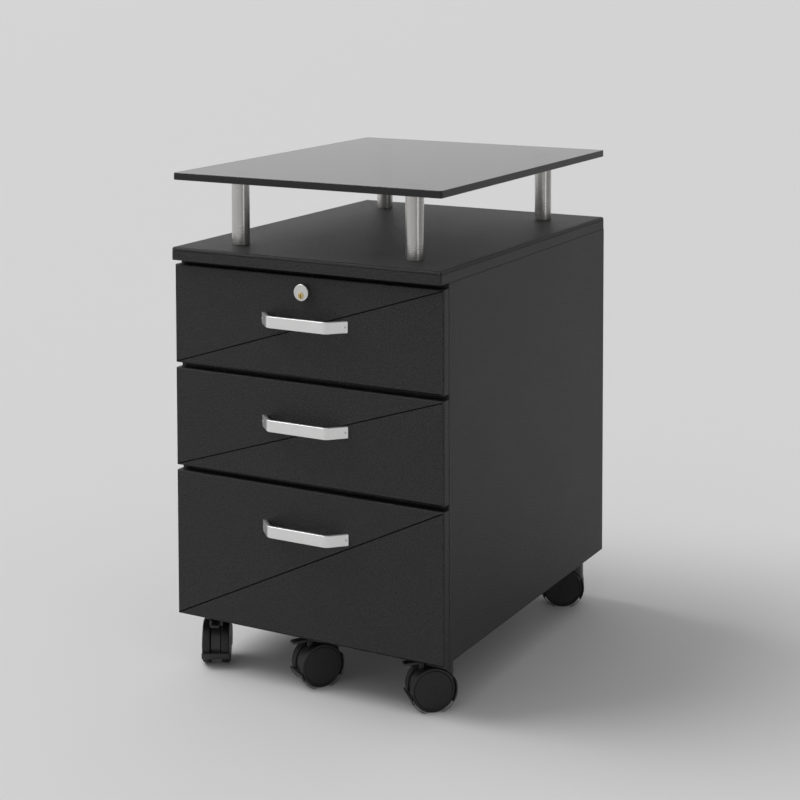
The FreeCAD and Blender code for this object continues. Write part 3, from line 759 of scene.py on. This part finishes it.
def lock_rosette(fittings):
    """The round face of the lock, dished a little, with the bore of its plug below the middle."""
    low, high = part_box("lock_housing")
    plug_low, plug_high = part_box("lock_plug")
    face_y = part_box("upper_drawer_front")[0].y
    middle_z = (low.z + high.z) / 2
    plug_z = (plug_low.z + plug_high.z) / 2
    barrel = barrel_radius()
    rosette = drum("lock_rosette", (0, low.y, middle_z), (0, face_y, middle_z), (high.x - low.x) / 2, 128)
    with Editing(rosette) as edit:
        edit.edges(level_with(1, low.y))
        bevel(fittings.rosette_edge, 4)
        edit.faces(lambda middle, normal: normal.y < -0.99)
        bpy.ops.mesh.inset(thickness=fittings.rosette_land, depth=0)
        bpy.ops.mesh.inset(thickness=fittings.rosette_dish, depth=-fittings.rosette_dish)
        edit.faces(lambda middle, normal: normal.y > 0.99)
        bpy.ops.mesh.inset(thickness=(high.x - low.x) / 2 - barrel + fittings.plug_gap, depth=0)
        push((0, high.y - face_y, 0))
    carve(rosette, drum("bore", (0, low.y - MM, plug_z), (0, high.y + MM, plug_z),
                        (plug_high.x - plug_low.x) / 2 + fittings.plug_gap, 64))
    fit(rosette, "upper_drawer", "nickel", "lock_housing")


def lock_plug(fittings):
    """The brass plug with its keyway: a slot with a ward on each side."""
    low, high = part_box("lock_plug")
    middle_z = (low.z + high.z) / 2
    radius = (high.x - low.x) / 2
    plug = drum("lock_core", (0, low.y, middle_z), (0, high.y, middle_z), radius, 64)
    with Editing(plug) as edit:
        edit.edges(level_with(1, low.y))
        bevel(fittings.plug_gap * 6, 3)
    width, height = fittings.keyway_width, fittings.keyway_height
    deep = low.y + fittings.keyway_depth
    upper = block("slot", (-width / 2, low.y - MM, middle_z), (0, deep, middle_z + height / 2))
    lower = block("slot", (-width / 4, low.y - MM, middle_z - height / 2),
                  (width / 2, deep, middle_z + height / 6))
    carve(plug, upper, lower)
    fit(plug, "lock_cylinder", "brass", "lock_plug")


def slide_member(drawer, kind, body, open_side, fittings):
    """A pair of channels of folded zinc-plated steel, open at both ends."""
    node = f"{drawer}_{kind}_slides"
    low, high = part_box(node)
    depth = slide_depth(drawer, kind)
    member = block(f"{drawer}_{kind}_channels", (high.x - depth, low.y, low.z), high)
    with Editing(member) as edit:
        edit.faces(lambda middle, normal: abs(normal.y) > 0.9 or normal.x * open_side > 0.9)
        bpy.ops.mesh.delete(type="FACE")
        edit.edges(lambda a, b: along(1)(a, b) and same(a.x, high.x if open_side < 0 else high.x - depth))
        bevel(fittings.slide_bend, 4)
    apply_modifier(member, "SOLIDIFY", thickness=fittings.slide_steel, offset=-1, use_even_offset=True)
    mirror = copied(member, "twin", Matrix.Scale(-1, 4, RIGHT))
    hold(member)
    mirror.select_set(True)
    bpy.ops.object.join()
    fit(member, body, "zinc_steel", node)


def slide_depth(drawer, kind):
    """Depth of a slide member across the cabinet, from the nested members' common clearances."""
    web_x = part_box(drawer + "_cabinet_slides")[1].x
    box_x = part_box(drawer + "_drawer_box")[1].x
    step = web_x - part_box(drawer + "_middle_slides")[1].x
    clearance = step - bpy.context.scene.pedestal_fittings.slide_steel
    if kind == "cabinet":
        return web_x - box_x - 2 * clearance
    if kind == "middle":
        return web_x - box_x - 2 * step - clearance
    return web_x - box_x - 2 * step


# ---------------------------------------------------------------- castors
def swivel_and_ahead(castor):
    """A castor's swivel axis at floor level and the level direction of its hood."""
    swivel = Vector(JOINTS[castor + "_swivel"]["pos_m"])
    ahead = Vector(JOINTS[castor + "_wheel_spin"]["pos_m"]) - swivel
    swivel.z = ahead.z = 0
    return swivel, ahead.normalized()


def castor_place(castor):
    """Turns and moves a piece modelled about a swivel axis, hood ahead along +X, to its castor."""
    swivel, ahead = swivel_and_ahead(castor)
    return Matrix.Translation(swivel) @ Matrix.Rotation(math.atan2(ahead.y, ahead.x), 4, "Z")


class Castor:
    """The common measures of the castors, in the frame of their model."""

    def __init__(self, sizes):
        swivel, ahead = swivel_and_ahead("front_left")
        aside = UP.cross(ahead)
        axle = Vector(JOINTS["front_left_wheel_spin"]["pos_m"])
        pivot = Vector(JOINTS["front_left_pedal_press"]["pos_m"])
        self.radius = axle.z
        self.centre = Vector(((axle - swivel).dot(ahead), 0, axle.z))
        self.pivot = Vector(((pivot - swivel).dot(ahead), 0, pivot.z))
        self.half_span = reach("front_left_castor_wheels", axle, aside)
        self.pin_half = reach("front_left_brake_pedal", pivot, aside)
        self.pedal_tip = reach("front_left_brake_pedal", swivel, ahead)
        self.pedal_half = self.pin_half - sizes.ear - sizes.ear_gap
        self.tread_room = self.radius + sizes.hood_gap
        self.cover = self.half_span + sizes.hood_cover
        self.web_half = sizes.wheel_gap / 2 - sizes.web_gap


def reach(node, origin, direction):
    """How far a frame node reaches from a point along a direction."""
    obj = frame["nodes"][node]
    return max((obj.matrix_world @ vertex.co - origin).dot(direction) for vertex in obj.data.vertices)


def axle_drum(name, centre, half_width, radius, sides=96):
    """A drum across the castor, about a point of its middle plane."""
    return drum(name, centre - BACK * half_width, centre + BACK * half_width, radius, sides)


def ring(name, centre, inner, outer, half_width, sizes):
    """A ring under the hood's arc, made by spinning its cross-section round the axle."""
    bpy.ops.object.select_all(action="DESELECT")
    bpy.ops.mesh.primitive_plane_add(size=1, location=centre + RIGHT * (inner + outer) / 2)
    bpy.context.object.scale = (outer - inner, 2 * half_width, 1)
    arc = named(name)
    with Editing(arc) as edit:
        edit.faces(lambda middle, normal: True)
        bpy.ops.transform.rotate(value=sizes.hood_front, orient_axis="Y", center_override=centre)
        bpy.ops.mesh.spin(steps=72, angle=sizes.hood_rear - sizes.hood_front, center=centre, axis=-BACK)
        bpy.ops.mesh.select_all(action="SELECT")
        bpy.ops.mesh.remove_doubles(threshold=TOUCH / 2)
        bpy.ops.mesh.normals_make_consistent(inside=False)
    return arc


def castor_hood(sizes, with_pedal):
    """The moulded hood: an arc over both wheels, a swivel cup, a middle web and the pedal's ears."""
    castor = Castor(sizes)
    outer = castor.tread_room + sizes.hood_wall
    hood = ring("hood", castor.centre, castor.tread_room, outer, castor.cover, sizes)
    with Editing(hood) as edit:
        edit.edges(lambda a, b: same(abs(a.y), castor.cover) and same(a.y, b.y))
        bevel(sizes.hood_edge, 3)
    cup = drum("cup", UP * castor.radius, UP * sizes.cup_top, sizes.cup)
    with Editing(cup) as edit:
        edit.edges(level_with(2, sizes.cup_top))
        bevel(sizes.cup_edge, 4)
    carve(cup, axle_drum("room", castor.centre, 2 * castor.cover, castor.tread_room + sizes.hood_wall / 9, 144))
    join(hood, cup)
    if with_pedal:
        join(hood, *pedal_ears(sizes, castor))
    join(hood, ring("rim", castor.centre, castor.radius / 2, castor.tread_room + sizes.hood_wall / 2,
                    castor.web_half, sizes))
    join(hood, axle_drum("core", castor.centre, castor.web_half, castor.radius - sizes.web_core))
    carve(hood,
          block("below", (-2 * outer, -castor.cover, -outer), (2 * outer, castor.cover, sizes.web_lift)),
          drum("pin", Vector(), UP * 2 * sizes.cup_top, sizes.pin, 32),
          axle_drum("bore", castor.centre, castor.cover, sizes.axle, 32))
    return hood


def pedal_ears(sizes, castor):
    ears = []
    pivot = castor.pivot
    foot_z = castor.centre.z + castor.tread_room * 0.86
    for side in (-1, 1):
        near = side * (castor.pedal_half + sizes.ear_gap)
        far = side * castor.pin_half
        ear = drum("ear", (pivot.x, near, pivot.z), (pivot.x, far, pivot.z), sizes.ear_head, 32)
        join(ear, block("foot", (pivot.x - sizes.ear_head, min(near, far), foot_z),
                        (pivot.x + sizes.ear_head, max(near, far), pivot.z)))
        ears.append(ear)
    return ears


def castor_wheel(sizes, castor, side):
    """One wheel: a rounded tread, and a disc with a groove round it and a small boss."""
    wheel = drum("wheel", castor.centre + BACK * side * sizes.wheel_gap / 2,
                 castor.centre + BACK * side * castor.half_span, castor.radius)
    with Editing(wheel) as edit:
        edit.edges(lambda a, b: same(a.y, b.y))
        bevel(sizes.shoulder, 5)
        edit.faces(lambda middle, normal: normal.y * side > 0.99)
        for width, depth in ((sizes.disc_rim - sizes.shoulder, 0),
                             (sizes.disc_groove, -sizes.disc_groove),
                             (sizes.disc_groove, sizes.disc_groove),
                             (castor.radius - sizes.disc_rim - 2 * sizes.disc_groove - sizes.disc_hub,
                              -sizes.disc_dish),
                             (sizes.disc_groove, sizes.disc_dish)):
            bpy.ops.mesh.inset(thickness=width, depth=depth)
    return wheel


def wheel_set(sizes):
    """Two wheels on their axle."""
    castor = Castor(sizes)
    pair = axle_drum("axle", castor.centre, castor.half_span - sizes.axle, sizes.axle, 32)
    join(pair, *[castor_wheel(sizes, castor, side) for side in (-1, 1)])
    return pair


def brake_pedal(sizes):
    """A tongue that tapers towards its tip, on a pin."""
    castor = Castor(sizes)
    pivot, half = castor.pivot, castor.pedal_half
    tongue = block("pedal", (pivot.x - sizes.tongue, -half, pivot.z - sizes.tongue),
                   (castor.pedal_tip, half, pivot.z + sizes.tongue))
    with Editing(tongue) as edit:
        edit.edges(lambda a, b: same(a.x, castor.pedal_tip) and same(a.x, b.x) and min(a.z, b.z) > pivot.z)
        bpy.ops.transform.translate(value=(-sizes.tongue_slope, 0, -sizes.tongue_slope))
        edit.edges(lambda a, b: True)
        bevel(sizes.tongue_edge, 3)
    join(tongue, axle_drum("pin", pivot, castor.pin_half, sizes.pedal_pivot, 32))
    return tongue


# ---------------------------------------------------------------- operators
class PieceOperator:
    """What every operator here shares."""
    bl_options = {"REGISTER", "UNDO"}


class PEDESTAL_OT_drawer_fronts(PieceOperator, bpy.types.Operator):
    """Fold and drill the three drawer fronts"""
    bl_idname = "pedestal.drawer_fronts"
    bl_label = "Drawer fronts"

    def execute(self, context):
        for drawer in DRAWERS:
            drawer_front(drawer, context.scene.pedestal_sheets, context.scene.pedestal_fittings)
        return {"FINISHED"}


class PEDESTAL_OT_side_panels(PieceOperator, bpy.types.Operator):
    """Fold the two side panels"""
    bl_idname = "pedestal.side_panels"
    bl_label = "Side panels"

    def execute(self, context):
        for side in ("left", "right"):
            side_panel(side, context.scene.pedestal_sheets)
        return {"FINISHED"}


class PEDESTAL_OT_top(PieceOperator, bpy.types.Operator):
    """Fold the top with its grooved rim"""
    bl_idname = "pedestal.top"
    bl_label = "Top"

    def execute(self, context):
        top_cover(context.scene.pedestal_sheets, context.scene.pedestal_fittings)
        return {"FINISHED"}


class PEDESTAL_OT_glass_shelf(PieceOperator, bpy.types.Operator):
    """Cut and polish the glass shelf"""
    bl_idname = "pedestal.glass_shelf"
    bl_label = "Glass shelf"

    def execute(self, context):
        glass_shelf(context.scene.pedestal_sheets)
        return {"FINISHED"}


class PEDESTAL_OT_drawer_boxes(PieceOperator, bpy.types.Operator):
    """Fold the three drawer boxes"""
    bl_idname = "pedestal.drawer_boxes"
    bl_label = "Drawer boxes"

    def execute(self, context):
        for drawer in DRAWERS:
            drawer_box(drawer, context.scene.pedestal_sheets)
        return {"FINISHED"}


class PEDESTAL_OT_posts(PieceOperator, bpy.types.Operator):
    """Turn the four posts of the glass shelf"""
    bl_idname = "pedestal.posts"
    bl_label = "Posts"

    def execute(self, context):
        for corner in CORNERS:
            post(corner, context.scene.pedestal_fittings)
        return {"FINISHED"}


class PEDESTAL_OT_handles(PieceOperator, bpy.types.Operator):
    """Bend the three handles"""
    bl_idname = "pedestal.handles"
    bl_label = "Handles"

    def execute(self, context):
        for drawer in DRAWERS:
            bow_handle(drawer, context.scene.pedestal_fittings)
        return {"FINISHED"}


class PEDESTAL_OT_lock(PieceOperator, bpy.types.Operator):
    """Turn the lock's rosette and its plug"""
    bl_idname = "pedestal.lock"
    bl_label = "Lock"

    def execute(self, context):
        lock_rosette(context.scene.pedestal_fittings)
        lock_plug(context.scene.pedestal_fittings)
        return {"FINISHED"}


class PEDESTAL_OT_slides(PieceOperator, bpy.types.Operator):
    """Roll the members of the drawer slides"""
    bl_idname = "pedestal.slides"
    bl_label = "Slides"

    def execute(self, context):
        fittings = context.scene.pedestal_fittings
        for drawer in DRAWERS:
            slide_member(drawer, "cabinet", "cabinet", -1, fittings)
            slide_member(drawer, "middle", drawer + "_slide_carriage", -1, fittings)
            slide_member(drawer, "drawer", drawer + "_drawer", 1, fittings)
        return {"FINISHED"}


class PEDESTAL_OT_castor_hoods(PieceOperator, bpy.types.Operator):
    """Mould the castors' hoods"""
    bl_idname = "pedestal.castor_hoods"
    bl_label = "Castor hoods"

    def execute(self, context):
        sizes = context.scene.pedestal_castors
        models = {with_pedal: castor_hood(sizes, with_pedal) for with_pedal in (True, False)}
        for castor in CASTORS:
            hood = copied(models[castor in BRAKED], castor + "_hood", castor_place(castor))
            fit(hood, castor + "_castor", "black_plastic", castor + "_castor_hood")
        for model in models.values():
            bpy.data.objects.remove(model)
        return {"FINISHED"}


class PEDESTAL_OT_castor_wheels(PieceOperator, bpy.types.Operator):
    """Mould the castors' wheels on their axles"""
    bl_idname = "pedestal.castor_wheels"
    bl_label = "Castor wheels"

    def execute(self, context):
        model = wheel_set(context.scene.pedestal_castors)
        for castor in CASTORS:
            wheels = copied(model, castor + "_twin_wheels", castor_place(castor))
            fit(wheels, castor + "_wheels", "black_wheel_plastic", castor + "_castor_wheels")
        bpy.data.objects.remove(model)
        return {"FINISHED"}


class PEDESTAL_OT_brake_pedals(PieceOperator, bpy.types.Operator):
    """Mould the brake pedals of the front castors"""
    bl_idname = "pedestal.brake_pedals"
    bl_label = "Brake pedals"

    def execute(self, context):
        model = brake_pedal(context.scene.pedestal_castors)
        for castor in BRAKED:
            pedal = copied(model, castor + "_pedal_tongue", castor_place(castor))
            fit(pedal, castor + "_pedal", "black_plastic", castor + "_brake_pedal")
        bpy.data.objects.remove(model)
        return {"FINISHED"}


class PEDESTAL_OT_frame_finishes(PieceOperator, bpy.types.Operator):
    """Give each frame node the finish of its material slot"""
    bl_idname = "pedestal.frame_finishes"
    bl_label = "Frame finishes"

    def execute(self, context):
        for part in frame["record"]["subparts"]:
            mesh = frame["nodes"][part["node"]].data
            mesh.materials.clear()
            mesh.materials.append(finish(part["material_slot"]))
        return {"FINISHED"}


class PEDESTAL_OT_studio(PieceOperator, bpy.types.Operator):
    """Set up the floor, the room light and the camera"""
    bl_idname = "pedestal.studio"
    bl_label = "Studio"

    def execute(self, context):
        studio = context.scene.pedestal_studio
        floor(studio)
        room_light(context.scene, studio)
        main_light(studio)
        strip_light(studio)
        camera(context.scene, studio)
        return {"FINISHED"}


# ---------------------------------------------------------------- studio
def floor(studio):
    """A pale floor that runs far back and far to the left."""
    bpy.ops.object.select_all(action="DESELECT")
    reach_back, ahead, right = studio.floor_radius, studio.floor_ahead, studio.floor_right
    bpy.ops.mesh.primitive_plane_add(size=1, location=((right - reach_back) / 2, (reach_back - ahead) / 2, 0))
    bpy.context.object.scale = (reach_back + right, reach_back + ahead, 1)
    ground = named("studio_floor")
    ground.data.materials.append(finish("studio_floor"))


def room_light(scene, studio):
    """An even pale room, brighter on the left than on the right."""
    world = bpy.data.worlds.new("room")
    scene.world = world
    world.use_nodes = True
    nodes, links = world.node_tree.nodes, world.node_tree.links
    direction = nodes.new("ShaderNodeSeparateXYZ")
    links.new(nodes.new("ShaderNodeTexCoord").outputs["Generated"], direction.inputs[0])
    slope = nodes.new("ShaderNodeMath")
    slope.operation = "MULTIPLY_ADD"
    slope.inputs[1].default_value = -studio.sky_slope
    slope.inputs[2].default_value = studio.sky
    links.new(direction.outputs["X"], slope.inputs[0])
    background = nodes["Background"]
    links.new(slope.outputs[0], background.inputs["Strength"])
    background.inputs["Color"].default_value = (1, 1, 1, 1)
    scene.view_settings.view_transform = "Standard"


def main_light(studio):
    """A very soft light from the upper left."""
    light = bpy.data.lights.new("main_light", "SUN")
    light.energy = studio.sun
    light.angle = studio.sun_width
    lamp = bpy.data.objects.new("main_light", light)
    lamp.rotation_euler = Vector((0.58, 0.16, -0.80)).to_track_quat("-Z", "Y").to_euler()
    bpy.context.scene.collection.objects.link(lamp)


def strip_light(studio):
    """A tall narrow light at the front right, which draws the bright lines down the posts."""
    light = bpy.data.lights.new("strip_light", "AREA")
    light.shape = "RECTANGLE"
    light.size = 0.35
    light.size_y = 1.6
    light.energy = studio.strip
    lamp = bpy.data.objects.new("strip_light", light)
    lamp.location = (3.0, -1.3, 0.8)
    lamp.rotation_euler = (math.pi / 2, 0, math.atan2(3.0, 1.3))
    bpy.context.scene.collection.objects.link(lamp)


def camera(scene, studio):
    data = bpy.data.cameras.new("camera")
    data.lens = studio.lens
    data.shift_y = -studio.lens_drop
    data.clip_end = 4 * studio.floor_radius
    eye = bpy.data.objects.new("camera", data)
    eye.matrix_world = (Matrix.Translation((studio.camera_right, -studio.camera_ahead, studio.camera_height))
                        @ Matrix.Rotation(studio.heading, 4, "Z")
                        @ Matrix.Rotation(math.pi / 2 - studio.tilt, 4, "X")
                        @ Matrix.Rotation(studio.roll, 4, "Z"))
    scene.collection.objects.link(eye)
    scene.camera = eye


# ---------------------------------------------------------------- panel and registration
STEPS = (
    PEDESTAL_OT_frame_finishes, PEDESTAL_OT_drawer_fronts, PEDESTAL_OT_side_panels, PEDESTAL_OT_top,
    PEDESTAL_OT_glass_shelf, PEDESTAL_OT_drawer_boxes, PEDESTAL_OT_posts, PEDESTAL_OT_handles,
    PEDESTAL_OT_lock, PEDESTAL_OT_slides, PEDESTAL_OT_castor_hoods, PEDESTAL_OT_castor_wheels,
    PEDESTAL_OT_brake_pedals, PEDESTAL_OT_studio,
)
SETTINGS = {
    "pedestal_sheets": SheetSizes,
    "pedestal_fittings": FittingSizes,
    "pedestal_castors": CastorSizes,
    "pedestal_colours": FinishColours,
    "pedestal_studio": StudioSizes,
}


class PEDESTAL_PT_build(bpy.types.Panel):
    """Lists the build steps and their settings"""
    bl_label = "Pedestal cabinet"
    bl_space_type = "VIEW_3D"
    bl_region_type = "UI"
    bl_category = "Pedestal"

    def draw(self, context):
        for step in STEPS:
            self.layout.operator(step.bl_idname)
        for name, group in SETTINGS.items():
            box = self.layout.box()
            box.label(text=group.__doc__)
            for setting in group.__annotations__:
                box.prop(getattr(context.scene, name), setting)


def register():
    for group in SETTINGS.values():
        bpy.utils.register_class(group)
    for name, group in SETTINGS.items():
        setattr(bpy.types.Scene, name, PointerProperty(type=group))
    for step in STEPS:
        bpy.utils.register_class(step)
    bpy.utils.register_class(PEDESTAL_PT_build)


def unregister():
    bpy.utils.unregister_class(PEDESTAL_PT_build)
    for step in reversed(STEPS):
        bpy.utils.unregister_class(step)
    for name, group in SETTINGS.items():
        delattr(bpy.types.Scene, name)
        bpy.utils.unregister_class(group)


def main():
    register()
    for step in STEPS:
        category, operator = step.bl_idname.split(".")
        getattr(getattr(bpy.ops, category), operator)()


if __name__ == "__main__":
    main()
